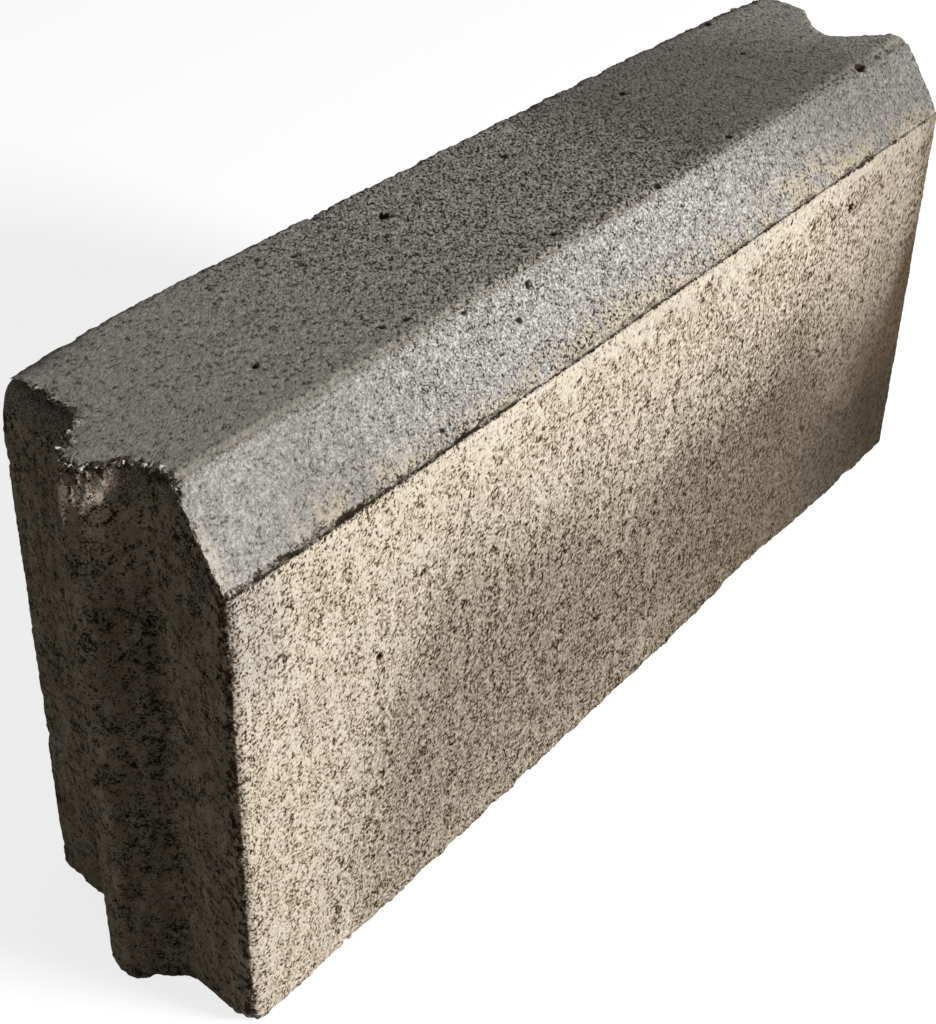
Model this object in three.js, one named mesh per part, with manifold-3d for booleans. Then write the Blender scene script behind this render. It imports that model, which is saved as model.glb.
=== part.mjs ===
// A dry-pressed concrete kerb stone: one plain block with a sloping chamfer along the top of its front,
// a tongue down one end and a groove down the other, so that each stone in a row keys into the next.
// Millimetres, +Z up. X runs along the kerb, from the tongue end to the groove end. The front faces -Y,
// and the origin is the middle of the bed, halfway between the shoulders of the two ends.

import * as THREE from "three";
import { mergeVertices } from "three/addons/utils/BufferGeometryUtils.js";
import Module from "manifold-3d";

// The block.
const layingLength = 500; // from the shoulders of one end to those of the other
const height = 250;
const thickness = 120; // front to back

// The chamfer that the press plate forms along the top of the front.
const chamferRun = 25; // back over the top
const chamferDrop = 35; // down the front
const chamferStep = 1.5; // the narrow ledge that the plate's blunt edge leaves at the chamfer's foot

// The tongue, a tapered rib as tall as the stone, in the middle of the thickness.
const tongueRoot = 46; // its width between the shoulders
const tongueTip = 12; // its width at the tip, before rounding
const tongueReach = 17; // how far it stands out from the shoulders

// The groove, which takes the tongue of the next stone with room to spare.
const grooveSideRoom = 2; // on each side of the tongue's root
const grooveEndRoom = 5; // past the tongue's tip

// Rounding, as radii. The upright ones are seen from above, the others along the stone.
const endCornerRadius = 4; // the four upright corners of the block
const tongueRootRadius = 4; // where the tongue's flanks meet the shoulders
const tongueTipRadius = 6;
const grooveMouthRadius = 4;
const grooveFloorRadius = 5;
const bedArrisRadius = 3; // the two long edges of the bed
const backArrisRadius = 4; // the top's long back edge
const browRadius = 8; // the soft edge between the top and the chamfer

const arcSteps = 4; // each arc is drawn with twice as many straight pieces
const overrun = 20; // how far each extrusion runs past the other, so that no end faces fall together

const wasm = await Module();
wasm.setup();

// A closed outline through corners given as [x, y, radius], anticlockwise, with a true arc at each
// corner whose radius is above zero.
function roundedShape(corners) {
  const shape = new THREE.Shape();
  const points = corners.map(([x, y]) => new THREE.Vector2(x, y));
  corners.forEach(([, , radius], i) => {
    const corner = points[i];
    if (radius === 0) {
      shape.lineTo(corner.x, corner.y);
      return;
    }
    const back = points.at(i - 1).clone().sub(corner).normalize();
    const on = points[(i + 1) % points.length].clone().sub(corner).normalize();
    const halfAngle = Math.acos(back.dot(on)) / 2;
    const clockwise = back.cross(on) > 0;
    const middle = back.clone().add(on).normalize();
    const centre = corner.clone().addScaledVector(middle, radius / Math.sin(halfAngle));
    const setback = radius / Math.tan(halfAngle);
    const start = corner.clone().addScaledVector(back, setback).sub(centre);
    const end = corner.clone().addScaledVector(on, setback).sub(centre);
    shape.absarc(centre.x, centre.y, radius, start.angle(), end.angle(), clockwise);
  });
  shape.closePath();
  return shape;
}

// The block seen along the kerb, as (y, z).
function sectionShape() {
  const front = -thickness / 2;
  const back = thickness / 2;
  const chamferFoot = height - chamferDrop;
  return roundedShape([
    [front, 0, bedArrisRadius],
    [back, 0, bedArrisRadius],
    [back, height, backArrisRadius],
    [front + chamferRun, height, browRadius],
    [front + chamferStep, chamferFoot, 0],
    [front, chamferFoot, 0],
  ]);
}

// The block seen from above, as (x, y): tongue on the left, groove on the right.
function planShape() {
  const front = -thickness / 2;
  const back = thickness / 2;
  const tongueEnd = -layingLength / 2;
  const tip = tongueEnd - tongueReach;
  const grooveEnd = layingLength / 2;
  const floor = grooveEnd - tongueReach - grooveEndRoom;
  const mouthHalf = tongueRoot / 2 + grooveSideRoom;
  return roundedShape([
    [tongueEnd, front, endCornerRadius],
    [grooveEnd, front, endCornerRadius],
    [grooveEnd, -mouthHalf, grooveMouthRadius],
    [floor, -tongueTip / 2, grooveFloorRadius],
    [floor, tongueTip / 2, grooveFloorRadius],
    [grooveEnd, mouthHalf, grooveMouthRadius],
    [grooveEnd, back, endCornerRadius],
    [tongueEnd, back, endCornerRadius],
    [tongueEnd, tongueRoot / 2, tongueRootRadius],
    [tip, tongueTip / 2, tongueTipRadius],
    [tip, -tongueTip / 2, tongueTipRadius],
    [tongueEnd, -tongueRoot / 2, tongueRootRadius],
  ]);
}

function extruded(shape, depth) {
  return new THREE.ExtrudeGeometry(shape, { depth, bevelEnabled: false, curveSegments: arcSteps });
}

function solidOf(geometry) {
  geometry.deleteAttribute("normal");
  geometry.deleteAttribute("uv");
  const merged = mergeVertices(geometry);
  const vertProperties = merged.getAttribute("position").array;
  const triVerts = new Uint32Array(merged.index.array);
  return new wasm.Manifold(new wasm.Mesh({ numProp: 3, vertProperties, triVerts }));
}

function geometryOf(solid) {
  const { vertProperties, triVerts } = solid.getMesh();
  const geometry = new THREE.BufferGeometry();
  geometry.setAttribute("position", new THREE.BufferAttribute(vertProperties, 3));
  geometry.setIndex(new THREE.BufferAttribute(triVerts, 1));
  const faceted = geometry.toNonIndexed();
  faceted.computeVertexNormals();
  return faceted;
}

// The section swept along the kerb and the plan swept upwards, kept where they meet.
function kerbGeometry() {
  const sweepLength = layingLength + 2 * (tongueReach + overrun);
  const alongKerb = new THREE.Matrix4().makeBasis(
    new THREE.Vector3(0, 1, 0),
    new THREE.Vector3(0, 0, 1),
    new THREE.Vector3(1, 0, 0),
  );
  const section = extruded(sectionShape(), sweepLength);
  section.translate(0, 0, -sweepLength / 2);
  section.applyMatrix4(alongKerb);
  const plan = extruded(planShape(), height + 2 * overrun);
  plan.translate(0, 0, -overrun);
  return geometryOf(solidOf(section).intersect(solidOf(plan)));
}

const concrete = new THREE.MeshStandardMaterial({ color: 0x9d958a, roughness: 0.95, metalness: 0 });

const kerbStone = new THREE.Mesh(kerbGeometry(), concrete);
kerbStone.name = "kerb_stone";

const part = new THREE.Group();
part.add(kerbStone);

export default part;
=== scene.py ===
import math
import random
import bmesh
import bpy
import numpy as np
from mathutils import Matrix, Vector, noise
from mathutils.bvhtree import BVHTree
from mathutils.kdtree import KDTree


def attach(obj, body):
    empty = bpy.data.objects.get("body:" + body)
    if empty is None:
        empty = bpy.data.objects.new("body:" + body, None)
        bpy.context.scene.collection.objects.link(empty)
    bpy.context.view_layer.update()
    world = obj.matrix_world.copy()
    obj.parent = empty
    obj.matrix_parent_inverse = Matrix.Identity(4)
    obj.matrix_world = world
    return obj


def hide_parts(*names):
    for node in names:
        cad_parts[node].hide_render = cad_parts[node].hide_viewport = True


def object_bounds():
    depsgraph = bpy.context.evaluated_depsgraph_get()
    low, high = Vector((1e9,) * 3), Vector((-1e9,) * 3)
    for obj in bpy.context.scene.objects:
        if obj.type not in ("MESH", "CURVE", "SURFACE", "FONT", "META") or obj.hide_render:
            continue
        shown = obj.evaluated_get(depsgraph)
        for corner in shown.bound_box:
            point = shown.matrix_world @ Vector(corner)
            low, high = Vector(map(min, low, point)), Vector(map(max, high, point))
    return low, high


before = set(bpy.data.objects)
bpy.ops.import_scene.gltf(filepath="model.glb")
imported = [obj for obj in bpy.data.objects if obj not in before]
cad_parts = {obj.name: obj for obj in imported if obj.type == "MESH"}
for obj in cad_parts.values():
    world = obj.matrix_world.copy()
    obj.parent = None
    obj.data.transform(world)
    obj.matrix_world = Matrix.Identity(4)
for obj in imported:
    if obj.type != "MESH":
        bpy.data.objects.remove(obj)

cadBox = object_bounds()
mm = 0.001

# camera

view = {
    "location": (-0.5079, -0.3691, 0.5742),
    "rotation": (60.90, -1.19, -49.68),  # degrees, turned about x, then y, then z
    "lens": 57.83,
    "shiftY": -0.280,  # the frame lies below the lens's axis
}


def makeCamera():
    data = bpy.data.cameras.new("camera")
    data.lens = view["lens"]
    data.shift_y = view["shiftY"]
    data.clip_start = 0.01
    camera = bpy.data.objects.new("camera", data)
    camera.location = view["location"]
    camera.rotation_euler = [math.radians(angle) for angle in view["rotation"]]
    bpy.context.collection.objects.link(camera)
    bpy.context.scene.camera = camera


makeCamera()
print("camera placed")

# the kerb's mesh, all its lengths in mm

stone = {
    "chamfer": (25, 35),  # back from the front, down from the top
    "tongue": (23, 6),  # half widths at its root and its tip
    "groove": (25, 6, 22),  # half widths at its mouth and its floor, depth
    "voxel": 4.0,  # first even mesh, halved towards the arrises
    "bandWide": 8.5,
    "bandMiddle": 4.5,
    "bandFine": 2.2,
    "skin": 0.4,  # the cast face lies this far inside the mould
    "sway": (70, 0.5),  # size and depth of the slow unevenness
    "swell": (17, 0.22),
    "wear": 1.9,  # lost at a common arris
    "wearReach": 5.0,
    "spared": 8,  # the near front arrises are crisp, and wear grows over this distance
    "nick": (3.5, 4.2),  # reach and depth of the nicks in them
    "browSoft": (4, 0.7),  # reach and depth of the rounding of the brow
    "browSofter": (3, 0.9),  # what it gains at the far end
    "crumb": (2.4, 0.55),  # size and depth of the grain along arrises
    "chips": 130,
    "chipSize": (2.0, 6.5),
    "seed": 7,
}

# the outer faces come from the frame, in mm
lowest, highest = [[round(value / mm) for value in corner] for corner in cadBox]
tipX, frontY, bedZ = lowest
farX, backY, topZ = highest
nearX = -farX
browY = frontY + stone["chamfer"][0]
footZ = topZ - stone["chamfer"][1]

# pits of the faces as x, y, z, radius, depth
pits = [
    (-75.6, 34.4, topZ, 2.6, 3.2),
    (-87.5, 22.5, topZ, 1.5, 1.4),
    (-26.4, 29, topZ, 1.7, 1.6),
    (0, 33, topZ, 1.8, 1.6),
    (89.4, 32.8, topZ, 1.7, 1.5),
    (-123, 38, topZ, 1.5, 1.0),
    (-126, 31, topZ, 1.4, 1.0),
    (-186, -6.7, topZ, 1.8, 1.6),
    (-137.5, -22, topZ, 1.6, 1.4),
    (-128, -25, topZ, 1.6, 1.3),
    (-40, -26, topZ, 1.8, 1.6),
    (23.6, -33, topZ, 2.0, 1.6),
    (84.7, -30, topZ, 1.9, 1.6),
    (200, -35, 249, 3.6, 3.0),
    (191.7, 51.7, topZ, 2.4, 1.8),
    (234.7, 50.3, topZ, 2.2, 1.6),
    (171, 17, topZ, 1.6, 1.2),
    (-71, -39, 244.4, 1.7, 2.0),
    (-83, -44.9, 236.2, 1.5, 1.2),
    (-107, -36.7, 247.6, 1.5, 1.2),
    (-140, -55.9, 220.7, 1.5, 1.2),
    (-179, frontY, 140.6, 1.9, 3.0),
    (160, frontY, 193, 3.0, 3.0),
]


def endPlan(x, innerX, outerHalf, innerHalf):
    corners = [(x, outerHalf), (innerX, innerHalf), (innerX, -innerHalf), (x, -outerHalf)]
    return [(x, backY), *corners, (x, frontY)]


def endArrises(plan):
    outline = plan[:-1] + [(plan[-1][0], browY)]
    x = plan[-1][0]
    runs = {
        "head": [((*a, topZ), (*b, topZ)) for a, b in zip(outline, outline[1:])],
        "slope": [((x, browY, topZ), (x, frontY, footZ))],
        "bed": [((*a, bedZ), (*b, bedZ)) for a, b in zip(plan, plan[1:])],
        "upright": [((px, py, bedZ), (px, py, footZ if py == frontY else topZ)) for px, py in plan],
    }
    return runs


def sideArris(y, z):
    return ((nearX, y, z), (farX, y, z))


near = endArrises(endPlan(nearX, tipX, *stone["tongue"]))
far = endArrises(endPlan(farX, farX - stone["groove"][2], *stone["groove"][:2]))
foot, brow, backTop = sideArris(frontY, footZ), sideArris(browY, topZ), sideArris(backY, topZ)
frontBed, backBed = sideArris(frontY, bedZ), sideArris(backY, bedZ)
nearFront = near["upright"][5]
hollowUprights = [near["upright"][1], near["upright"][4], far["upright"][2], far["upright"][3]]
sideArrises = [foot, brow, backTop, frontBed, backBed]
everyArris = list(sideArrises)
for end in (near, far):
    everyArris += [run for runs in end.values() for run in runs]
wornArris = [run for run in everyArris if run not in hollowUprights + [brow]]
crispArris = near["slope"] + [nearFront]
burrArris = near["head"] + crispArris
chipArris = [run for run in wornArris if run not in burrArris + [foot]]
middleArris = sideArrises + near["head"] + near["slope"] + near["bed"] + far["head"] + far["slope"]
middleArris += [near["upright"][i] for i in (0, 2, 3, 5)] + [far["upright"][i] for i in (0, 5)]
fineArris = [foot] + burrArris
sparedArris = near["bed"][3:] + near["slope"] + far["slope"] + [nearFront, foot]


def segmentDistance(points, a, b):
    a = np.array(a, float)
    run = np.array(b, float) - a
    t = np.clip((points - a) @ run / (run @ run), 0, 1)
    return np.linalg.norm(points - a - t[:, None] * run, axis=1)


def arrisDistance(points, runs):
    return np.min([segmentDistance(points, a, b) for a, b in runs], axis=0)


def coordinates(shape):
    return np.array([vert.co for vert in shape.verts]) / mm


def facings(shape):
    return np.array([vert.normal for vert in shape.verts])


def grain(points, size, seed=0):
    shift = Vector((seed * 17.3, seed * 9.1, seed * 4.7))
    scaled = points / np.array(size, float)
    return np.array([noise.noise(Vector(point) + shift) for point in scaled])


def rise(values, low, high):
    t = np.clip((values - low) / (high - low), 0, 1)
    return t * t * (3 - 2 * t)


def evenBlank():
    blank = bpy.data.objects.new("blank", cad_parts["kerb_stone"].data.copy())
    bpy.context.collection.objects.link(blank)
    shape = bmesh.new()
    shape.from_mesh(blank.data)
    bmesh.ops.remove_doubles(shape, verts=shape.verts, dist=1e-6)
    shape.to_mesh(blank.data)
    tree = BVHTree.FromBMesh(shape)
    shape.free()
    remesh = blank.modifiers.new("even", "REMESH")
    remesh.mode = "VOXEL"
    remesh.voxel_size = stone["voxel"] * mm
    bpy.context.view_layer.update()
    finished = blank.evaluated_get(bpy.context.evaluated_depsgraph_get())
    mesh = bpy.data.meshes.new_from_object(finished)
    bpy.data.objects.remove(blank)
    return mesh, tree


def halve(shape, runs, reach, spots, tree):
    centres = np.array([face.calc_center_median() for face in shape.faces]) / mm
    picked = arrisDistance(centres, runs) < reach
    for x, y, z, radius in spots:
        picked |= np.linalg.norm(centres - (x, y, z), axis=1) < radius
    edges = {edge for face, pick in zip(shape.faces, picked) if pick for edge in face.edges}
    made = bmesh.ops.subdivide_edges(shape, edges=list(edges), cuts=1, use_grid_fill=True)
    for vert in [item for item in made["geom_inner"] if isinstance(item, bmesh.types.BMVert)]:
        vert.co = tree.find_nearest(vert.co)[0]


def gouge(points, normals, centre, radii, roughness=0.18, size=2.6, seed=0):
    # pushes the points inside a rough ellipsoid out to its wall, never above the face they are on
    scaled = (points - np.array(centre, float)) / np.array(radii, float)
    inside = np.flatnonzero(np.linalg.norm(scaled, axis=1) < 1 + roughness)
    if not len(inside):
        return points, inside
    length = np.linalg.norm(scaled[inside], axis=1)
    wall = 1 + roughness * grain(points[inside], size, seed)
    hit = length < wall
    inside, length, wall = inside[hit], length[hit], wall[hit]
    moved = scaled[inside] * (wall / np.maximum(length, 1e-3))[:, None] * np.array(radii, float)
    moved += np.array(centre, float) - points[inside]
    lift = np.maximum((moved * normals[inside]).sum(1), 0)
    points = points.copy()
    points[inside] += moved - normals[inside] * lift[:, None]
    return points, inside


def soften(shape, verts, factor):
    axes = {"use_axis_x": True, "use_axis_y": True, "use_axis_z": True}
    bmesh.ops.smooth_vert(shape, verts=verts, factor=factor, **axes)


def aroundPits(extra):
    return [(x, y, z, radius + extra) for x, y, z, radius, depth in pits]


def roughBlank():
    mesh, tree = evenBlank()
    shape = bmesh.new()
    shape.from_mesh(mesh)
    halve(shape, everyArris, stone["bandWide"], aroundPits(3), tree)
    halve(shape, middleArris, stone["bandMiddle"], aroundPits(1.2), tree)
    finest = [(*point, 4) for point in lipPoints()]
    finest += [spot for spot in aroundPits(0) if spot[3] > 2.5 or spot[1] == frontY]
    halve(shape, fineArris, stone["bandFine"], finest, tree)
    bmesh.ops.triangulate(shape, faces=shape.faces)
    for vert in shape.verts:
        vert.co = tree.find_nearest(vert.co)[0]
    soften(shape, shape.verts, 0.35)
    shape.normal_update()
    return shape, mesh


def lipPoints():
    spots = []
    for a, b in near["head"]:
        steps = max(2, int(math.dist(a, b) / 3))
        a, run = np.array(a), np.array(b) - np.array(a)
        spots += [tuple(a + run * i / steps) for i in range(steps + 1)]
    return spots


# extra loss along a long arris: mm from the near end, mm lost
losses = {
    "backTop": (
        (0, 15, 30, 45, 60, 100, 300, 350, 390, 420, 460, 482, 500),
        (5.5, 5, 3.6, 2, 0.6, 0, 0, 0.3, 1.3, 2.8, 4, 5.5, 7.5),
    ),
    "frontBed": (
        (265, 300, 322, 335, 365, 392, 415, 445),
        (0, 1, 2.4, 4.6, 4.6, 2.2, 1.2, 0),
    ),
}


def loseArris(points, run, name):
    along, lost = losses[name]
    lost = np.interp(points[:, 0] - nearX, along, lost)
    lost = np.maximum(lost, 4 * np.clip(grain(points, 5, 61) + grain(points, 2.4, 62), 0, 1))
    lost *= np.clip(1 + 0.5 * grain(points, 7, 6) + 0.4 * grain(points, 2.6, 7), 0.3, 1.6)
    close = np.clip(1 - segmentDistance(points, *run) / (4 + 1.5 * lost), 0, 1)
    return lost * close**1.5


def wearStone(points, normals):
    away = arrisDistance(points, wornArris)
    close = np.clip(1 - away / stone["wearReach"], 0, 1)
    spared = np.clip(arrisDistance(points, sparedArris) / stone["spared"], 0.15, 1)
    uneven = np.clip(0.8 + 1.0 * grain(points, 9, 1) + 0.8 * grain(points, 3.4, 2), 0.1, 2.2)
    size, depth = stone["crumb"]
    crumb = depth * np.clip(grain(points, size, 3) + 0.25, 0, 1) * np.sqrt(close)
    size, depth = stone["sway"]
    slow = depth * (0.5 + 0.5 * grain(points, size, 4))
    size, depth = stone["swell"]
    quick = depth * (0.5 + 0.5 * grain(points, size, 5))
    wear = stone["wear"] * close**2 * uneven * spared
    lost = loseArris(points, backTop, "backTop")
    wear += lost + loseArris(points, frontBed, "frontBed")
    reach, depth = stone["nick"]
    nick = np.clip(1 - arrisDistance(points, crispArris) / reach, 0, 1)
    nick *= depth * np.clip(grain(points, 2.6, 8) + 0.5 * grain(points, 1.2, 9) - 0.08, 0, 1)
    farther = rise(points[:, 0], 120, 240)
    reach, depth = [a + b * farther for a, b in zip(stone["browSoft"], stone["browSofter"])]
    soft = depth * np.clip(1 - segmentDistance(points, *brow) / reach, 0, 1) ** 2
    skin = (stone["skin"] + slow + quick) * rise(normals[:, 2], -0.9, -0.3)  # the bed stays flat
    moved = points - normals * (skin + wear + nick + soft + crumb * spared)[:, None]
    moved[:, 2] = np.maximum(moved[:, 2], 0)
    bared = np.clip((wear + crumb) / 2.5 - 0.2, 0, 0.6)
    bared *= np.clip(segmentDistance(points, *foot) / 4 - 0.5, 0, 1)
    # the worn top of the back arris gets painted shade
    chippedShade = np.clip(lost / 2.5, 0, 1) * np.clip(0.5 + 2 * grain(points, 4, 63), 0, 1)
    chippedShade *= points[:, 2] > topZ - 10
    return moved, bared, chippedShade


# the near end's upper edge is torn back: mm along it from the back corner, mm torn off
tornEdge = {
    "along": (
        *(0, 8, 16, 22, 31, 38, 41, 45, 48, 53, 56),
        *(60, 64, 70, 78, 86, 91, 95, 98, 103, 106, 109),
    ),
    "inset": (
        *(4.5, 3, 4, 3.6, 2.7, 4.2, 5.2, 5.6, 4.0, 5.2, 4),
        *(3, 1, 0.5, 0.6, 1, 3.5, 2.5, 0.5, 1, 1.8, 0.8),
    ),
    "down": (0, 1.2, 3, 8, 12, 20),  # mm below the top
    "share": (0.9, 1, 1.35, 1.25, 0.5, 0),
    "shadeDown": (0.6, 1.4, 4, 8),  # the wall under the edge gets painted shade between these
    "shadeShare": (0, 1, 0.6, 0),
    "ragged": 1.3,
}


def tearLip(points, rest, normals, raw):
    # moves the stone near that edge inwards, in plan, away from each side of the outline
    plan = rest * (1, 1, 0)
    inset = np.zeros(len(rest))
    inwards = np.zeros((len(rest), 3))
    share = np.full(len(rest), 1e-9)
    nearest = np.full(len(rest), 1e9)
    start = 0
    for a, b in near["head"]:
        a, b = np.array(a, float) * (1, 1, 0), np.array(b, float) * (1, 1, 0)
        length = math.dist(a, b)
        run = (b - a) / length
        away = segmentDistance(plan, a, b)
        weight = np.exp(-away / 2)
        along = start + np.clip((plan - a) @ run, 0, length)
        inset += weight * np.interp(along, tornEdge["along"], tornEdge["inset"])
        inwards += weight[:, None] * (-run[1], run[0], 0)
        share += weight
        nearest = np.minimum(nearest, away)
        start += length
    inwards /= np.maximum(np.linalg.norm(inwards, axis=1), 1e-6)[:, None]
    ragged = 0.7 * grain(rest, (1.4, 1.4, 2.2), 30) + grain(rest, (2.6, 2.6, 4), 31)
    ragged = ragged + 0.6 * grain(rest, (6, 6, 12), 32)
    inset = np.maximum(inset / share + tornEdge["ragged"] * ragged, 0)
    down = topZ - rest[:, 2]
    depth = inset * np.interp(down, tornEdge["down"], tornEdge["share"])
    depth *= np.exp(-nearest / np.maximum(4, 1.4 * inset)) * (nearest < 30)
    torn = np.clip(depth / 2, 0, 1) * rise(down, 0.1, 1.2)
    lipShade = np.interp(down, tornEdge["shadeDown"], tornEdge["shadeShare"]) * (nearest < 1.5)
    lipShade *= np.clip(inset / 3.5, 0, 1)
    lipShade *= np.clip(0.85 + 2.2 * grain(rest, (2.6, 2.6, 1.8), 33), 0, 1)
    return points + inwards * depth[:, None], np.maximum(raw * (down > 0.3), torn), lipShade


def nearestDistance(points, targets):
    tree = KDTree(len(targets))
    for i, target in enumerate(targets):
        tree.insert(target, i)
    tree.balance()
    return np.array([tree.find(point)[2] for point in points])


# the crumbs along the near rim and arrises, in mm
crumbs = {
    "zone": (nearX + 35, topZ - 14),  # they lie nearer than this x and above this z
    "size": 1.6,
    "height": 1.2,
    "reach": 2.8,  # away from the rim
    "clear": 44,  # none beyond this y, where the corner is broken
    "gapDown": (0.8, 1.8, 3.2, 6.5),  # the gap under the rim, sunk and painted with shade, by distance from the top
    "gapShare": (0, 1, 0.6, 0),
    "gapDepth": 0.9,
}


def crumble(points, rest, normals):
    # light where crumbs stand out, painted shade where they're lost
    close = 0.4 * np.clip(1.2 - arrisDistance(rest, crispArris) / 1.8, 0, 1)
    x, z = crumbs["zone"]
    zone = np.flatnonzero((points[:, 0] < x) & (points[:, 2] > z))
    top = (points[zone, 2] > topZ - 4) & (normals[zone, 2] > 0.75)
    side = normals[zone, 2] < 0.45
    toTop = nearestDistance(points[zone], points[zone[top]])
    toSide = nearestDistance(points[zone], points[zone[side]])
    rim = np.clip(1.3 - np.maximum(toTop, toSide) / crumbs["reach"], 0, 1)
    rim *= np.clip((crumbs["clear"] - rest[zone, 1]) / 10, 0, 1)
    close[zone] = np.maximum(close[zone], rim)
    picked = np.flatnonzero(close > 0)
    spots = points[picked] / crumbs["size"]
    spots = spots + 0.5 * np.stack([grain(spots, 1.1, seed) for seed in (51, 52, 53)], 1)
    height = np.zeros(len(picked))
    for i, spot in enumerate(spots):
        distances, centres = noise.voronoi(Vector(spot))
        dome = min(1, 2.2 * (distances[1] - distances[0]))
        height[i] = (noise.cell(centres[0] * 31.7) * 2 - 0.75) * dome - 0.5 * (1 - dome)
    height = height * close[picked]
    gap = np.zeros(len(points))
    ragged = 1.2 + 1.6 * grain(points[zone], 3, 54) + 1.2 * grain(points[zone], 1.3, 55)
    under = np.interp(toTop, crumbs["gapDown"], crumbs["gapShare"])
    gap[zone] = under * np.clip(ragged, 0, 1) * side
    moved = points.copy()
    moved[picked] += normals[picked] * (height * crumbs["height"])[:, None]
    moved -= normals * (crumbs["gapDepth"] * gap)[:, None]
    burr = np.zeros(len(points))
    burr[picked] = height * 1.5 + 1.3 * (normals[picked, 2] - 0.35) * close[picked]
    return moved, burr, gap, close


def digPits(points, normals):
    pitShade = np.zeros(len(points))
    for i, (x, y, z, radius, depth) in enumerate(pits):
        beside = np.flatnonzero(np.linalg.norm(points - (x, y, z), axis=1) < radius * 2 + 2)
        offset = points[beside] - (x, y, z)
        offset -= normals[beside] * (offset * normals[beside]).sum(1)[:, None]
        spread = np.linalg.norm(offset, axis=1) / radius
        spread *= 1 + 0.45 * grain(points[beside], 1.7, 10 + i)
        sink = depth * np.clip(1 - spread**2, 0, 1)
        points[beside] -= normals[beside] * sink[:, None]
        # each pit's depth is kept to paint its shade
        pitShade[beside] = np.maximum(pitShade[beside], np.clip(sink / 0.35, 0, 1))
    return points, pitShade


def chipArrises(points, normals, raw):
    dice = random.Random(stone["seed"])
    lengths = [math.dist(a, b) for a, b in chipArris]
    for i in range(stone["chips"]):
        a, b = dice.choices(chipArris, lengths)[0]
        t = dice.random()
        spot = np.array(a) + (np.array(b) - np.array(a)) * t
        at = int(np.argmin(np.linalg.norm(points - spot, axis=1)))
        low, high = stone["chipSize"]
        radius = low + (high - low) * dice.random() ** 2.2
        depth = radius * dice.uniform(0.12, 0.38)
        run = np.abs(np.array(b, float) - np.array(a, float)) / math.dist(a, b)
        radii = radius * (1 + run * dice.uniform(0.2, 1.2))
        centre = points[at] + normals[at] * (radius - depth)
        points, hit = gouge(points, normals, centre, radii, seed=40 + i)
        raw[hit] = 1
    return points, raw


# the crevice along the chamfer's foot: mm from the near end, strength
footCrevice = {
    "along": (
        *(0, 12, 14, 17, 24, 28, 32, 50, 56, 62, 70),
        *(108, 117, 128, 138, 150, 168, 185, 260, 320, 400, 500),
    ),
    "strength": (
        *(0.3, 0.5, 1.1, 0.5, 0.6, 1.5, 0.6, 0.5, 1.7, 0.8, 0.5),
        *(0.6, 1.1, 0.5, 1.0, 0.5, 0.3, 0.2, 0.4, 0.25, 0.2, 0.2),
    ),
    "dipAlong": (0, 4, 8, 14),  # it dips at the near arris
    "dip": (1.5, 2.6, 2.4, 0),
    "opens": (0, 0.86, -0.3),  # inwards and a little down, as a direction
}


def openFoot(points, rest):
    x, y, z = rest.T
    strength = np.interp(x - nearX, footCrevice["along"], footCrevice["strength"])
    line = np.stack([x, np.zeros(len(x)), np.zeros(len(x))], 1)
    centre = footZ + 0.2 + 0.9 * grain(line, 9, 21) + 0.5 * grain(line, 2.5, 24)
    centre -= np.interp(x - nearX, footCrevice["dipAlong"], footCrevice["dip"])
    half = (0.15 + 0.45 * strength**2) * np.clip(1 + 0.9 * grain(line, 2.2, 22), 0.4, 2)
    depth = strength * (0.3 + 0.8 * np.clip(grain(line, 5.2, 23) + 0.1, 0, 1))
    beside = (y < frontY + 10) & (np.abs(z - footZ) < 6) & (x > nearX - 1) & (x < farX + 1)
    sink = np.where(beside, depth * np.clip(1 - ((z - centre) / half) ** 2, 0, 1), 0)
    points = points + sink[:, None] * np.array(footCrevice["opens"])
    # the crevice's depth is kept to paint its shade
    return points, np.clip(sink / 0.2 - 0.1, 0, 1)


# broken places as centre and radii
breaks = [
    ((-256, 63, 254), (15, 15, 12)),  # near back corner
    ((-240, 66, 255), (18, 10, 9)),
    ((-222, 67, 254), (14, 8, 7)),
    ((-244, 59, 252), (10, 8, 8)),
    ((-252.5, 16.5, 248.5), (5, 4.5, 5.5)),  # root of the tongue
    ((-252.5, 21, 244), (4, 4, 5)),
    ((-253, -15, 247), (3.2, 2.6, 3)),
    ((-260, -11.5, 247), (3, 2.4, 2)),
    ((-249.5, -31, 247), (3, 2.6, 3)),
    ((-251, 30, 246), (3.5, 4, 3)),
    ((-251, 39, 246.5), (3.5, 4, 3)),
    ((256, -33, 256), (13, 14, 11)),  # far end of the brow
    ((252, 63, 253), (15, 14, 10)),  # far back corner
    ((246, 66, 255), (22, 14, 10)),
    ((226, 0, 252), (5, 6, 6)),  # floor of the groove
]


def breakEnd(points, normals, raw):
    broken = np.zeros(len(points), bool)
    for i, (centre, radii) in enumerate(breaks):
        points, hit = gouge(points, normals, centre, radii, 0.3, 2.0, 200 + i)
        raw[hit] = 1
        broken[hit] = True
    return points, raw, broken


def putPoints(shape, points):
    points = np.clip(points, np.array(cadBox[0]) / mm, np.array(cadBox[1]) / mm)
    for vert, point in zip(shape.verts, points):
        vert.co = point * mm
    shape.normal_update()


def settle(shape, chosen, most):
    # takes out the spikes that the breaks leave
    shape.verts.ensure_lookup_table()
    chosen = set(np.flatnonzero(chosen))
    for i in range(3):
        verts = [vert for vert in shape.verts if vert.index in chosen or isSpike(vert, most)]
        soften(shape, verts, 0.5)
    shape.normal_update()


def isSpike(vert, most):
    around = [edge.other_vert(vert).co for edge in vert.link_edges]
    return (sum(around, Vector()) / len(around) - vert.co).length > most * mm


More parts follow.
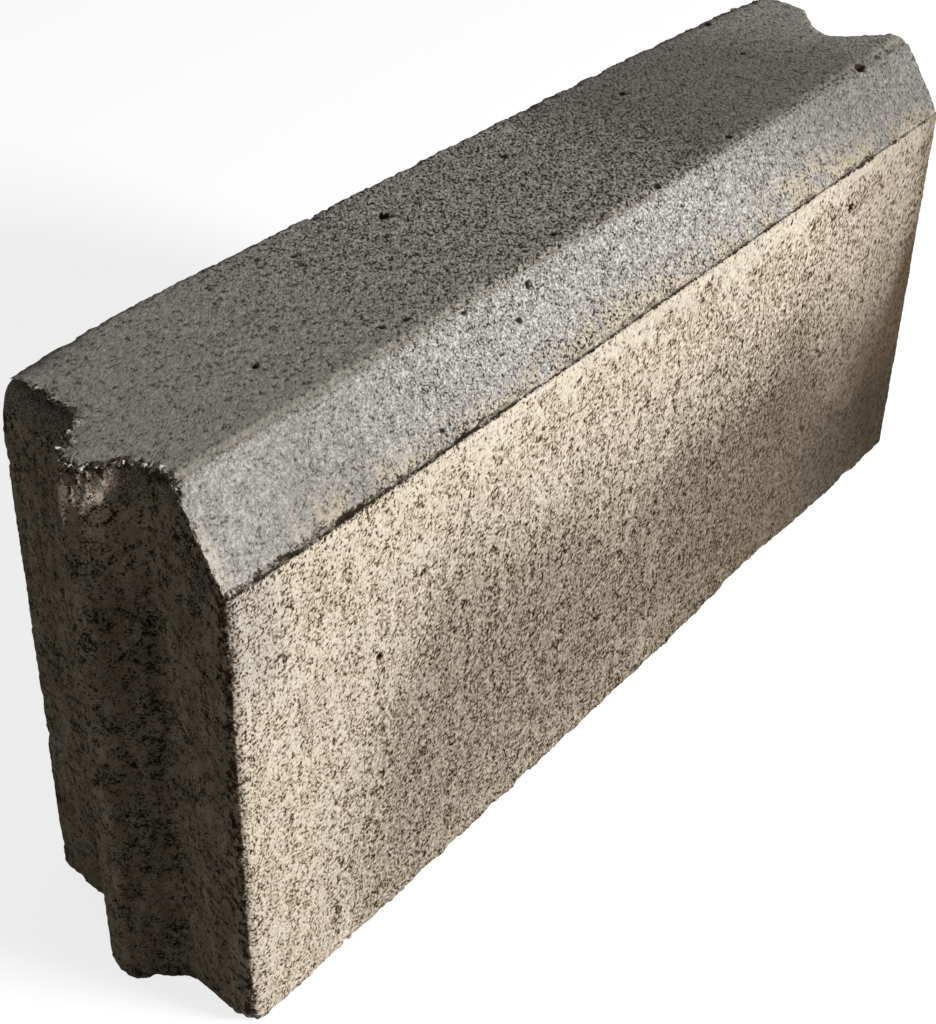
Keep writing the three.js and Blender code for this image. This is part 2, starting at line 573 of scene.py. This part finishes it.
def nameFaces(mesh, rest, normals):
    nx, ny, nz = normals.T
    ends = rise(np.abs(nx) - 0.35 * (rest[:, 1] < -30), 0.35, 0.6)
    top = rise(nz, 0.78, 0.92) * (1 - ends)
    chamfer = rise(nz, 0.2, 0.4) * (1 - top) * (1 - ends) * (ny < 0)
    front = rise(-ny, 0.5, 0.8) * (1 - chamfer) * (1 - ends) * (1 - top)
    facing = mesh.attributes.new("facing", "FLOAT_VECTOR", "POINT")
    facing.data.foreach_set("vector", np.stack([front, chamfer, top], 1).astype(np.float32).ravel())
    keepValue(mesh, "ends", ends)


def keepValue(mesh, name, values):
    attribute = mesh.attributes.new(name, "FLOAT", "POINT")
    attribute.data.foreach_set("value", values.astype(np.float32))


def makeKerb():
    shape, mesh = roughBlank()
    print("blank:", len(shape.faces), "triangles,", len(shape.verts), "points")
    rest = coordinates(shape)
    normals = facings(shape)
    points, raw, chippedShade = wearStone(rest, normals)
    points, raw, lipShade = tearLip(points, rest, normals, raw)
    points, pitShade = digPits(points, normals)
    points, raw = chipArrises(points, normals, raw)
    points, raw, broken = breakEnd(points, normals, raw)
    beside = np.abs(rest[:, 1]) > stone["tongue"][0] + 3  # no flake stands out beside the tongue
    points[:, 0] = np.where(beside, np.maximum(points[:, 0], nearX), points[:, 0])
    points, cleftShade = openFoot(points, rest)
    putPoints(shape, points)
    settle(shape, broken, 0.9)
    points, burr, gap, rim = crumble(coordinates(shape), rest, facings(shape))
    putPoints(shape, points)
    backCorner = (rest[:, 0] < nearX + 35) & (rest[:, 1] > backY - 16) & (rest[:, 2] > topZ - 25)
    for i in range(3):
        settle(shape, backCorner, 1.1)
    for face in shape.faces:
        face.smooth = True
    shape.to_mesh(mesh)
    shape.free()
    nameFaces(mesh, rest, normals)
    keepValue(mesh, "raw", raw)
    # painted shade of the pits, the crevice along the foot, the gap under the rim, the wall under
    # the torn edge and the worn back arris
    keepValue(mesh, "hollowShade", np.max([pitShade, cleftShade, gap * 0.7, lipShade * 0.4, chippedShade * 0.6], axis=0))
    keepValue(mesh, "burr", burr)
    keepValue(mesh, "rim", rim)
    mesh.name = "kerb_concrete"
    mesh.materials.clear()
    kerb = bpy.data.objects.new("kerb_concrete", mesh)
    bpy.context.collection.objects.link(kerb)
    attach(kerb, "root")
    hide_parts("kerb_stone")
    return kerb


kerb = makeKerb()
print("kerb worn and chipped")

# the concrete


class Signal:  # a socket that adds Math nodes as it is used in sums
    def __init__(self, tree, socket):
        self.tree = tree
        self.socket = socket

    def math(self, operation, *terms):
        made = self.tree.nodes.new("ShaderNodeMath")
        made.operation = operation
        for slot, term in zip(made.inputs, terms):
            if isinstance(term, Signal):
                self.tree.links.new(term.socket, slot)
            else:
                slot.default_value = term
        return Signal(self.tree, made.outputs[0])

    def __add__(self, other):
        return self.math("ADD", self, other)

    def __radd__(self, other):
        return self.math("ADD", other, self)

    def __sub__(self, other):
        return self.math("SUBTRACT", self, other)

    def __rsub__(self, other):
        return self.math("SUBTRACT", other, self)

    def __mul__(self, other):
        return self.math("MULTIPLY", self, other)

    def __rmul__(self, other):
        return self.math("MULTIPLY", other, self)

    def size(self):
        return self.math("ABSOLUTE", self)

    def above(self, other):
        return self.math("MAXIMUM", self, other)

    def below(self, other):
        return self.math("MINIMUM", self, other)


class Finish:  # the nodes of a material or of the world, and the one way they are made
    def __init__(self, owner):
        owner.use_nodes = True
        self.tree = owner.node_tree
        self.tree.nodes.clear()

    def node(self, kind, settings=None, feeds=None, out=0):
        made = self.tree.nodes.new(kind)
        for name, value in (settings or {}).items():
            setattr(made, name, value)
        for name, value in (feeds or {}).items():
            if isinstance(value, Signal):
                self.tree.links.new(value.socket, made.inputs[name])
            elif isinstance(value, tuple) and made.inputs[name].type == "RGBA":
                made.inputs[name].default_value = (*value, 1)
            else:
                made.inputs[name].default_value = value
        return Signal(self.tree, made.outputs[out] if made.outputs else None)

    def grain(self, place, size, detail=2.0, roughness=0.5, out=0):
        feeds = {"Vector": place, "Scale": 1 / (size * mm), "Detail": detail, "Roughness": roughness}
        return self.node("ShaderNodeTexNoise", {}, feeds, out)

    def rise(self, value, low, high, start=0.0, end=1.0):
        feeds = {"Value": value, "From Min": low, "From Max": high, "To Min": start, "To Max": end}
        return self.node("ShaderNodeMapRange", {"interpolation_type": "SMOOTHSTEP"}, feeds)

    def about(self, value, middle, outer, inner):  # 1 within the inner reach, 0 past the outer
        return self.rise((value - middle).size(), outer, inner)

    def mix(self, share, first, second, blend="MIX"):
        settings = {"data_type": "RGBA", "blend_type": blend}
        return self.node("ShaderNodeMix", settings, {0: share, 6: first, 7: second}, 2)

    def parts(self, vector):
        made = self.node("ShaderNodeSeparateXYZ", {}, {0: vector}).socket.node
        return [Signal(self.tree, socket) for socket in made.outputs]

    def stretch(self, place, scale):
        return self.node("ShaderNodeVectorMath", {"operation": "MULTIPLY"}, {0: place, 1: scale})

    def named(self, name, out):
        return self.node("ShaderNodeAttribute", {"attribute_name": name}, {}, out)

    def seen(self):  # 1 for the rays that show the background itself
        rays = ("Is Camera Ray", "Is Glossy Ray", "Is Transmission Ray")
        camera, glossy, through = [self.node("ShaderNodeLightPath", out=ray) for ray in rays]
        return (camera + glossy + through).below(1)


concrete = {
    "frontPaste": (0.765, 0.673, 0.55),
    "frontDull": (0.455, 0.367, 0.268),
    "frontSmear": (0.86, 0.765, 0.625),
    "frontLight": (0.90, 0.82, 0.69),
    "frontPore": (0.19, 0.125, 0.07),
    "frontDeep": (0.05, 0.033, 0.018),
    "shadowAndDamp": (0.145, 0.12, 0.095),  # painted shadow and damp: what they leave of the colour
    # painted shadow and grey staining of the far lower corner
    "shadowAndStain": (0.58, 0.61, 0.66),
    "nearGrey": (0.72, 0.76, 0.85),
    "chamferPaste": (0.368, 0.348, 0.318),
    "chamferDark": (0.125, 0.111, 0.093),
    "chamferLight": (0.7, 0.676, 0.635),
    "warmPaste": (0.58, 0.53, 0.45),
    "warmTint": (1.0, 0.93, 0.81),
    "topPaste": (0.33, 0.311, 0.270),
    "topPore": (0.033, 0.025, 0.017),
    "topLight": (0.58, 0.55, 0.49),
    "endPaste": (0.235, 0.198, 0.135),
    "endLight": (0.34, 0.29, 0.21),
    "endPore": (0.010, 0.007, 0.004),
    "endShade": (0.40, 0.38, 0.36),
    # the painted light patch on the head of the tongue's front flank
    "litCream": (0.88, 0.78, 0.64),
    "litBrown": (0.30, 0.21, 0.15),
    "backShade": (0.95, 0.95, 0.97),
    "bareMiddle": (0.30, 0.27, 0.23),
    "bareDark": (0.06, 0.05, 0.04),
    "bareLight": (0.75, 0.70, 0.62),
    "edgeShade": (0.34, 0.25, 0.19),
    "edgeLight": (0.62, 0.47, 0.33),
    "burrLight": (0.52, 0.49, 0.43),
    "rimLight": (0.88, 0.85, 0.76),
    # painted shade of pits, gaps and crevices, browner on the front
    "hollowShade": (0.035, 0.025, 0.017),
    "frontHollowShade": (0.05, 0.016, 0.007),
}
black = (0, 0, 0)

# where the finishes change, in m
seams = {
    "chamfer": (0.2147, 0.2155),  # z where its finish begins
    "front": (-0.0565, -0.0585),  # y where the front's finish has come round the arris
    "band": (0.198, 0.208),  # z where the front's paste gets cleaner
    "brown": (0.211, 0.208),  # z under which the front's hollows are brown
    "upright": (-0.0535, -0.0565),  # y of the near upright's dark edge
    "notch": -0.0343,  # y of the small chips along the brow
    "cleftShade": 0.2146,  # z of the line of painted shade along the foot
    "cleftWidth": (0.0003, 0.0013),
}


def grainsOf(finish):
    # the shared noises, 0 to 1, and how far each swings from its middle
    place = finish.node("ShaderNodeTexCoord", {}, {}, 3)
    x, y, z = finish.parts(place)
    scale = 0.83 - x * 0.84  # the grit gets coarser towards the far end
    spot = {0: x * (0.83 - x * 0.42), 1: y * scale, 2: (z - 0.12) * scale}
    spot = finish.node("ShaderNodeCombineXYZ", {}, spot)
    tall = finish.stretch(spot, (1, 1, 0.87))
    turned = {"Vector": spot, "Rotation": (0, 0, 0.70), "Scale": (1.8, 1, 1)}
    turned = finish.node("ShaderNodeMapping", {"vector_type": "TEXTURE"}, turned)
    grit = {
        "fine": finish.grain(tall, 1.15, 1, 0.6),
        "coarse": finish.grain(tall, 3.2, 1, 0.6),
        "patch": finish.grain(tall, 13, 1),
        "cloud": finish.grain(place, 70, 1),
        "streak": finish.grain(finish.stretch(place, (1, 1, 0.3)), 5, 1),
        "fleck": finish.grain(spot, 1.0, 1, 0.65),
        "sand": finish.grain(spot, 0.6, 0),
        "lump": finish.grain(spot, 2.0, 0),
        "dash": finish.grain(turned, 0.95, 1, 0.65),
    }
    swing = {name: value - 0.5 for name, value in grit.items()}
    grit["x"], grit["y"], grit["z"] = x, y, z
    grit["rough"] = finish.rise(x, -0.22, -0.10, 0.55, 1.0)  # the near end is smoother
    grit["pit"] = finish.rise(grit["lump"] + swing["fine"] * 0.6, 0.29, 0.23)
    # cleaner paste lies in streaks, and on the front in a band under the chamfer
    clean = finish.rise(grit["streak"] + swing["coarse"] * 0.45, 0.47, 0.60)
    clean = clean * finish.rise(x, 0.0, 0.15, 1.0, 0.3)
    band = finish.rise(z + swing["coarse"] * 0.02 + swing["patch"] * 0.03, *seams["band"])
    band = band * finish.rise(x, -0.2, -0.1) * finish.rise(y, 0.0, -0.04)
    grit["clean"] = clean.above(band * 1.6)
    gap = grit["fine"] + swing["sand"] * 0.15 + swing["coarse"] * 0.33
    grit["gap"] = gap + swing["patch"] * finish.rise(x, 0.05, 0.18, 0.08, 0.01)
    # more grains are lost beside the end arrises and under the near half of the foot
    lost = finish.rise(x, -0.232, -0.247).above(finish.rise(x, 0.222, 0.24)) * 0.03
    under = finish.rise(z, 0.209, 0.2135) * finish.rise(x + grit["patch"] * 0.1, -0.02, -0.10)
    pore = grit["gap"] + grit["clean"] * 0.045 - (lost + under * 0.06)
    grit["pore"] = finish.rise(pore, 0.465, 0.385)
    grit["deep"] = finish.rise(pore, 0.37, 0.31)
    return grit, swing


# spots of the front with more painted shadow and damp, fewer where the strength is below 0
shadowAndDampSpots = [
    {"x": 0.17, "z": 0.122, "reach": (0.07, 0.02), "strength": -0.12},
    {"x": -0.175, "z": 0.14, "reach": (0.07, 0.03), "strength": 0.12},
    {"x": -0.025, "z": 0.126, "reach": (0.06, 0.02), "strength": -0.12},
]


def shadowAndDampOf(finish, grit, swing):
    # painted shadow, with some damp, darkens the front up from the foot and towards the far end; the
    # near end and a band along the top are left out
    x, z = grit["x"], grit["z"]
    along = x - nearX * mm + swing["cloud"] * 0.05
    down = footZ * mm - z + swing["cloud"] * 0.04
    fromFoot = finish.rise(down - along * 0.05, 0.010, 0.10)
    fromFoot = fromFoot * finish.rise(along + down * 0.35, 0.08, 0.145)
    farEnd = finish.rise(along + down * 0.3, 0.30, 0.47) * (1 - fromFoot)
    shadowAndDamp = fromFoot * (0.55 + along * 0.82) + farEnd * 0.45
    for spot in shadowAndDampSpots:
        away = (x - spot["x"]).size() + (z - spot["z"]).size()
        shadowAndDamp = shadowAndDamp + finish.rise(away, *spot["reach"]) * spot["strength"]
    shadowAndDamp = shadowAndDamp + finish.rise(down, 0.08, 0.04) * finish.about(x, 0.035, 0.1, 0.03) * 0.07
    shadowAndDamp = shadowAndDamp + finish.about(x, 0.07, 0.06, 0.02) * finish.rise(z, 0.02, 0.05) * 0.02
    shadowAndDamp = shadowAndDamp + finish.about(x, 0.01, 0.13, 0.05) * finish.rise(z, 0.15, 0.185) * 0.08
    shadowAndDamp = shadowAndDamp + finish.rise(x, 0.220, 0.245) * 0.3  # painted shade of the far arris
    shadowAndDamp = shadowAndDamp + finish.rise(x, 0.185, 0.235) * finish.about(z, 0.055, 0.055, 0.02) * 0.1
    return shadowAndDamp - finish.rise(z, 0.05, 0.01) * finish.rise(x, 0.05, 0.0) * 0.09


def frontColour(finish, grit, swing):
    tone = concrete
    x, z = grit["x"], grit["z"]
    shadowAndDamp = shadowAndDampOf(finish, grit, swing)
    fade = finish.rise(x - z * 0.35, 0.02, 0.17, 1.0, 0.42)  # the texture is fainter far off
    crisp = finish.rise(x - z * 0.35, 0.02, 0.17, 1.0, 0.72)
    darkest = finish.rise(shadowAndDamp, 0.7, 0.95)
    shadowAndDamp = shadowAndDamp + (0.5 - grit["gap"]) * 4.8 * shadowAndDamp * (1 - shadowAndDamp) * fade
    dull = finish.rise(grit["gap"] + swing["sand"] * 0.35 * fade, 0.68, 0.42)
    dull = dull * (0.95 - grit["clean"] * 0.45)
    dull = dull * fade + (1 - fade) * 0.38
    colour = finish.mix(dull, tone["frontPaste"], tone["frontDull"])
    colour = finish.mix(grit["clean"] * 0.2, colour, tone["frontSmear"])
    colour = finish.mix(finish.rise(grit["fine"], 0.60, 0.72) * 0.5, colour, tone["frontLight"])
    colour = finish.mix(grit["pore"] * (0.75 - darkest * 0.4) * crisp, colour, tone["frontPore"])
    colour = finish.mix(grit["deep"] * (0.95 - darkest * 0.5) * crisp, colour, tone["frontDeep"])
    back = finish.mix(1.0, colour, tone["backShade"], "MULTIPLY")  # the back has none of the painted shadow and damp
    # painted shadow and damp darken the front
    colour = finish.mix(shadowAndDamp.above(0).below(1), colour, tone["shadowAndDamp"], "MULTIPLY")
    # painted shadow and grey staining darken the far lower corner, and the near arris is greyer at
    # its top
    shadowAndStain = finish.rise(x + swing["cloud"] * 0.05, 0.09, 0.22)
    shadowAndStain = shadowAndStain * finish.rise(z + swing["patch"] * 0.03 + swing["cloud"] * 0.03, 0.08, 0.05)
    colour = finish.mix(shadowAndStain, colour, tone["shadowAndStain"], "MULTIPLY")
    grey = finish.rise(x + swing["patch"] * 0.02, -0.218, -0.236)
    grey = grey * finish.rise(z + swing["cloud"] * 0.05, 0.150, 0.180)
    return finish.mix(grey * 0.6, colour, tone["nearGrey"], "MULTIPLY"), back


def chamferColour(finish, grit, swing):
    tone = concrete
    x, z = grit["x"], grit["z"]
    nearby = finish.rise(x, -0.1, -0.22)
    sharp = grit["rough"] * finish.rise(x, 0.04, 0.18, 1.0, 0.62)
    sandy = finish.rise(x, -0.22, -0.12, 0.3, 0.8) * finish.rise(x, 0.02, 0.14, 1.0, 0.4)
    # smears of the front's paste lie over its foot, and round the near arris
    smear = finish.rise(z + swing["cloud"] * 0.03 + swing["patch"] * 0.02, 0.228, 0.219)
    smear = smear * finish.rise(x, -0.222, -0.2)
    smear = smear * finish.rise(grit["patch"] + swing["coarse"] * 0.4, 0.36, 0.56)
    lip = finish.rise(x + swing["coarse"] * 0.008, -0.2425, -0.2465)
    lip = lip * finish.rise(z, 0.238, 0.226)
    colour = finish.mix((smear * 0.9).above(lip), tone["chamferPaste"], tone["warmPaste"])
    speck = swing["fleck"] * (1 - nearby * 0.15) + swing["coarse"] * (0.33 + nearby * 0.12)
    speck = speck + 0.5 + swing["lump"] * nearby * 0.35
    speck = speck + swing["patch"] * (0.06 + nearby * 0.1) - smear * 0.06
    colour = finish.mix(finish.rise(grit["sand"], 0.45, 0.25) * sandy, colour, tone["chamferDark"])
    colour = finish.mix(finish.rise(grit["sand"], 0.55, 0.75) * sandy, colour, tone["chamferLight"])
    colour = finish.mix(finish.rise(speck, 0.53, 0.70) * sharp, colour, tone["chamferLight"])
    colour = finish.mix(finish.rise(speck, 0.48, 0.34) * sharp * 0.7, colour, tone["chamferDark"])
    colour = finish.mix(finish.rise(speck, 0.37, 0.31) * sharp, colour, tone["hollowShade"])
    colour = finish.mix(smear * 0.8, colour, tone["warmTint"], "MULTIPLY")
    # it is darker at the far end, and a little near the near one
    shade = finish.rise(x + (z - 0.232) * 3 + swing["cloud"] * 0.06, 0.05, 0.20) * 0.4
    shade = shade.above(finish.about(x, -0.195, 0.035, 0.01) * 0.1)
    return finish.mix(shade, colour, black)


def topColour(finish, grit, swing):
    tone = concrete
    x, y = grit["x"], grit["y"]
    nearby = finish.rise(x, -0.05, -0.2)
    sharp = finish.rise(x, -0.24, -0.06, 0.4, 1.0) * finish.rise(x, 0.02, 0.14, 1.0, 0.47)
    sandy = finish.rise(x, -0.2, -0.1) * finish.rise(x, 0.02, 0.14, 1.0, 0.3)
    fleck = swing["dash"] * (1 - nearby * 0.35) + swing["lump"] * nearby * 0.4 + 0.5
    fleck = fleck + swing["coarse"] * 0.33
    sand = finish.rise(grit["sand"], 0.45, 0.25) * sandy
    colour = finish.mix(sand, tone["topPaste"], tone["topPore"])
    sand = finish.rise(grit["sand"], 0.58, 0.75) * sandy
    colour = finish.mix(sand * 0.8, colour, tone["topLight"])
    colour = finish.mix(finish.rise(fleck, 0.53, 0.68) * sharp, colour, tone["topLight"])
    colour = finish.mix(finish.rise(fleck, 0.49, 0.37) * sharp * 0.65, colour, tone["topPore"])
    # the far half is darker, but for its last corner
    shade = finish.rise(x + swing["cloud"] * 0.06, 0.0, 0.075)
    shade = shade * finish.rise(x + y * 0.6, 0.24, 0.17)
    colour = finish.mix(shade * 0.36, colour, black)
    pore = finish.rise(fleck - sharp * 0.03, 0.36, 0.30).above(grit["pit"] * sharp)
    return finish.mix(pore * (0.5 + sharp * 0.5), colour, tone["topPore"])


def endColour(finish, grit, swing):
    # the ends keep the marks of the mould: soft upright streaks and small flecks
    tone = concrete
    y, z = grit["y"], grit["z"]
    fleck = grit["fleck"] * 0.85 + swing["coarse"] * 0.6 + swing["patch"] * 0.3 + 0.075
    streak = finish.rise(grit["streak"] + swing["fine"] * 0.5, 0.40, 0.72)
    colour = finish.mix(streak, tone["endPaste"], tone["endLight"])
    colour = finish.mix(finish.rise(fleck, 0.56, 0.42) * 0.55, colour, tone["endPore"])
    colour = finish.mix(finish.rise(fleck, 0.40, 0.35), colour, tone["endPore"])
    flank = finish.rise(y, -0.027, -0.021) * finish.rise(y, -0.003, -0.009)
    flank = flank * finish.rise(z, 0.235, 0.19)
    colour = finish.mix(flank * 0.6, colour, tone["endShade"], "MULTIPLY")
    # painted light: the head of the tongue's front flank is pale cream and brown where the lamp
    # reaches it, down to the slanting edge of the shadow
    head = (z + y * 1.14 - 0.2238).below(z * 0.4 + y * 1.33 - 0.0764) + swing["streak"] * 0.008
    head = finish.rise(head, -0.003, 0.001)
    head = head * finish.rise(y, -0.028, -0.022) * finish.rise(y, 0.003, 0.0)
    litTint = finish.rise(grit["streak"] + grit["fine"], 0.92, 1.12)
    litTint = finish.mix(litTint, tone["litBrown"], tone["litCream"])
    return finish.mix(head * finish.rise(fleck, 0.36, 0.42) * 0.9, colour, litTint)


def facesColour(finish, grit, swing, ends, facing):
    front, chamfer, facingUp = facing
    top = finish.rise(facingUp + swing["fleck"] * 0.9 + swing["coarse"] * 0.6, 0.35, 0.65)
    colour, back = frontColour(finish, grit, swing)
    colour = finish.mix(front, back, colour)
    colour = finish.mix(chamfer, colour, chamferColour(finish, grit, swing))
    colour = finish.mix(top, colour, topColour(finish, grit, swing))
    nearHalf = finish.rise(grit["x"], 0.15, 0.05)
    return finish.mix(ends * nearHalf, colour, endColour(finish, grit, swing))


def addBare(finish, grit, swing, colour, ends):
    # the stuff of the stone where its skin is broken
    tone = concrete
    bare = finish.mix(finish.rise(grit["sand"], 0.5, 0.25), tone["bareMiddle"], tone["bareDark"])
    bare = finish.mix(finish.rise(grit["sand"], 0.52, 0.72), bare, tone["bareLight"])
    bare = finish.mix(ends * 0.45, bare, tone["endPore"])
    bared = finish.rise(finish.named("raw", 2) + swing["fine"] * 1.2, 0.3, 0.8)
    return finish.mix(bared * 0.7, colour, bare)


def addCrumbs(finish, grit, colour, facingUp):
    # crumbs stand out light, most on the top's rim, and the gaps between them get painted shade
    tone = concrete
    crumb = ((grit["fleck"] + grit["fine"] - 1) * 2.4 + 0.22) * finish.named("rim", 2)
    crumb = finish.named("burr", 2) * 0.6 + crumb
    light = finish.mix(facingUp, tone["burrLight"], tone["rimLight"])
    colour = finish.mix(finish.rise(crumb - facingUp * 0.2, 0.1, 0.45) * 0.8, colour, light)
    return finish.mix(finish.rise(crumb, -0.2, -0.6) * 0.8, colour, tone["hollowShade"])


def addEdges(finish, grit, swing, colour, ends):
    # painted shade makes the near upright's end side dark and ragged, and small chips along the brow
    # are painted dark as their shade
    tone = concrete
    x, y, z = grit["x"], grit["y"], grit["z"]
    edge = y + swing["coarse"] * 0.02 + swing["fine"] * 0.014
    edge = finish.rise(edge, *seams["upright"]) * ends * finish.rise(x, -0.2, -0.21)
    colour = finish.mix(edge, colour, tone["edgeShade"], "MULTIPLY")
    edge = edge * finish.rise(grit["fleck"] + grit["coarse"], 1.1, 1.25)
    colour = finish.mix(edge * 0.8, colour, tone["edgeLight"])
    notch = finish.about(y, seams["notch"], 0.0025, 0.001) * finish.rise(z, 0.245, 0.247)
    notch = notch * finish.rise(grit["coarse"] + swing["fine"] * 0.8, 0.54, 0.64)
    notch = notch * finish.rise(x, -0.1, 0.05)
    return finish.mix(notch * 0.8, colour, tone["hollowShade"])


def addHollowShade(finish, grit, swing, colour, facing):
    # painted shade in the pits and gaps of the mesh, and a thin line of painted shade along the foot
    tone = concrete
    x, z = grit["x"], grit["z"]
    front, chamfer = facing[:2]
    width = grit["patch"] + swing["coarse"] * 0.5 - x * 0.5
    width = finish.rise(width, 0.38, 0.62, *seams["cleftWidth"])
    away = (z - seams["cleftShade"] + swing["coarse"] * 0.003 + swing["fine"] * 0.004).size()
    cleftShade = finish.rise(away, width, width * 0.3) * (front + chamfer)
    brown = front * finish.rise(z, *seams["brown"])
    deep = finish.mix(brown, tone["hollowShade"], tone["frontHollowShade"])
    return finish.mix(finish.named("hollowShade", 2).above(cleftShade), colour, deep)


def bumpOf(finish, grit, swing, facingUp):
    dent = finish.rise(grit["fine"] + swing["coarse"] * 0.33, 0.46, 0.33)
    height = 0.6 * grit["coarse"] + 0.3 * grit["fine"] - 0.7 * dent
    height = height * finish.rise(grit["x"], 0.0, 0.2, 1.0, 0.6) * (1 - facingUp * 0.6)
    bump = {"Height": height, "Distance": 0.002, "Strength": 0.42}
    return finish.node("ShaderNodeBump", {}, bump)


def makeConcrete():
    material = bpy.data.materials.new("concrete")
    finish = Finish(material)
    grit, swing = grainsOf(finish)
    ends = finish.named("ends", 2)
    front, chamfer, facingUp = finish.parts(finish.named("facing", 1))
    front = front.above(finish.rise(grit["y"], *seams["front"]) * (1 - ends))
    chamfer = chamfer * finish.rise(grit["z"] + swing["fine"] * 0.003, *seams["chamfer"])
    facing = (front, chamfer, facingUp)
    colour = facesColour(finish, grit, swing, ends, facing)
    colour = addBare(finish, grit, swing, colour, ends)
    colour = addCrumbs(finish, grit, colour, facingUp)
    colour = addEdges(finish, grit, swing, colour, ends)
    colour = addHollowShade(finish, grit, swing, colour, facing)
    feeds = {
        "Base Color": colour,
        "Roughness": finish.rise(grit["gap"], 0.35, 0.65, 0.98, 0.86),
        "Normal": bumpOf(finish, grit, swing, facingUp),
        "Specular IOR Level": 0.05,
    }
    shader = finish.node("ShaderNodeBsdfPrincipled", {}, feeds)
    finish.node("ShaderNodeOutputMaterial", {}, {"Surface": shader})
    return material


kerb.data.materials.append(makeConcrete())
print("concrete mixed")

# floor and light

room = {
    "ambient": 0.16,
    "floorLit": 0.45,
    "floorGlow": 0.78,  # only the camera sees it
    "keyPower": 72,
    "keyPlace": (0.87, -2.24, 1.11),
    "keyAim": (0, -0.05, 0.12),
    "keySize": 0.75,
}


def makeFloor():
    shape = bmesh.new()
    bmesh.ops.create_grid(shape, x_segments=1, y_segments=1, size=6)
    mesh = bpy.data.meshes.new("floor")
    shape.to_mesh(mesh)
    shape.free()
    floor = bpy.data.objects.new("floor", mesh)
    bpy.context.collection.objects.link(floor)
    material = bpy.data.materials.new("floor")
    finish = Finish(material)
    plain = finish.node("ShaderNodeBsdfDiffuse", {}, {"Color": (room["floorLit"],) * 3})
    glow = finish.node("ShaderNodeEmission", {}, {"Strength": room["floorGlow"]})
    bright = finish.node("ShaderNodeAddShader", {}, {0: plain, 1: glow})
    surface = finish.node("ShaderNodeMixShader", {}, {0: finish.seen(), 1: plain, 2: bright})
    finish.node("ShaderNodeOutputMaterial", {}, {"Surface": surface})
    mesh.materials.append(material)


def makeLight():
    data = bpy.data.lights.new("key", "AREA")
    data.shape = "DISK"
    data.size = room["keySize"]
    data.energy = room["keyPower"]
    key = bpy.data.objects.new("key", data)
    key.location = room["keyPlace"]
    aim = Vector(room["keyAim"]) - key.location
    key.rotation_euler = aim.to_track_quat("-Z", "Y").to_euler()
    bpy.context.collection.objects.link(key)


def makeWorld():
    world = bpy.data.worlds.new("world")
    bpy.context.scene.world = world
    finish = Finish(world)
    dim = finish.node("ShaderNodeBackground", {}, {"Color": (1, 1, 1), "Strength": room["ambient"]})
    white = finish.node("ShaderNodeBackground", {}, {"Color": (1, 1, 1), "Strength": 1})
    sky = finish.node("ShaderNodeMixShader", {}, {0: finish.seen(), 1: dim, 2: white})
    finish.node("ShaderNodeOutputWorld", {}, {"Surface": sky})


makeFloor()
makeLight()
makeWorld()
bpy.context.scene.view_settings.view_transform = "Standard"
print("floor and light set")
